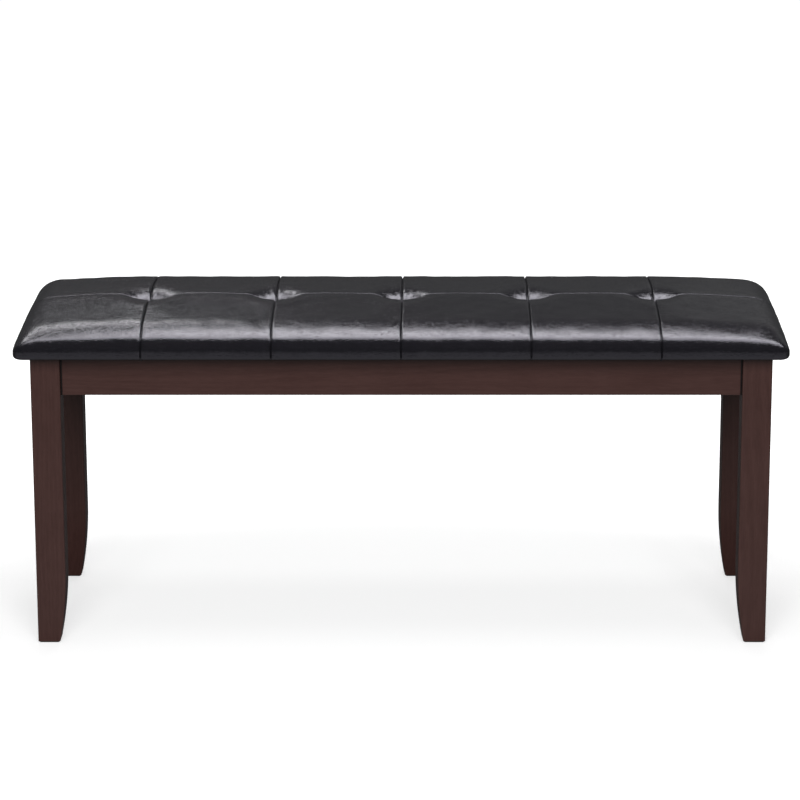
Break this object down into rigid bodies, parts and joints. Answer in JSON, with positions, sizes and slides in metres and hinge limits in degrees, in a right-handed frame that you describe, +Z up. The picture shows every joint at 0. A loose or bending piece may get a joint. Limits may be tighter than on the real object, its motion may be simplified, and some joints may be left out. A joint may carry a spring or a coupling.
{
  "type": "upholstered bench",
  "caption": "Upholstered bench: a tufted, channel-sewn leather seat pad screwed to a wooden frame with square legs curved in at the foot.",
  "frame": {"origin": "on the floor under the middle of the seat", "axes": "+X along the bench to the right as seen from the front, +Y from the front to the back, +Z up"},
  "size_m": [1.07, 0.38, 0.468],
  "materials": {
    "frame_wood": "dark espresso stain under a satin lacquer, fine grain",
    "inner_wood": "sawn and planed, unfinished",
    "plywood": "unfinished plywood",
    "seat_leather": "black bonded leather with a fine pebble grain and a soft gloss",
    "foam": "open-cell polyurethane foam",
    "dust_cloth": "thin black non-woven cloth, stapled at its edge",
    "twine": "waxed tufting twine",
    "foot_felt": "dark pressed felt",
    "zinc_steel": "zinc-plated steel"
  },
  "bodies": {
    "root": {"leg_front_left": "frame_wood", "leg_front_right": "frame_wood", "leg_rear_left": "frame_wood", "leg_rear_right": "frame_wood", "foot_pad_front_left": "foot_felt", "foot_pad_front_right": "foot_felt", "foot_pad_rear_left": "foot_felt", "foot_pad_rear_right": "foot_felt", "apron_front": "frame_wood", "apron_rear": "frame_wood", "apron_left": "frame_wood", "apron_right": "frame_wood", "corner_block_front_left": "inner_wood", "corner_block_front_right": "inner_wood", "corner_block_rear_left": "inner_wood", "corner_block_rear_right": "inner_wood", "seat_slat_left": "inner_wood", "seat_slat_right": "inner_wood", "frame_dowels": "inner_wood", "hanger_bolts": "zinc_steel", "flat_washers": "zinc_steel", "spring_washers": "zinc_steel", "hex_nuts": "zinc_steel", "corner_block_screws": "zinc_steel", "slat_screws": "zinc_steel", "seat_screws_long": "zinc_steel", "seat_screws_short": "zinc_steel", "seat_board": "plywood", "seat_foam": "foam", "seat_cover": "seat_leather", "dust_cover": "dust_cloth", "tuft_ties": "twine"}
  },
  "joints": []
}
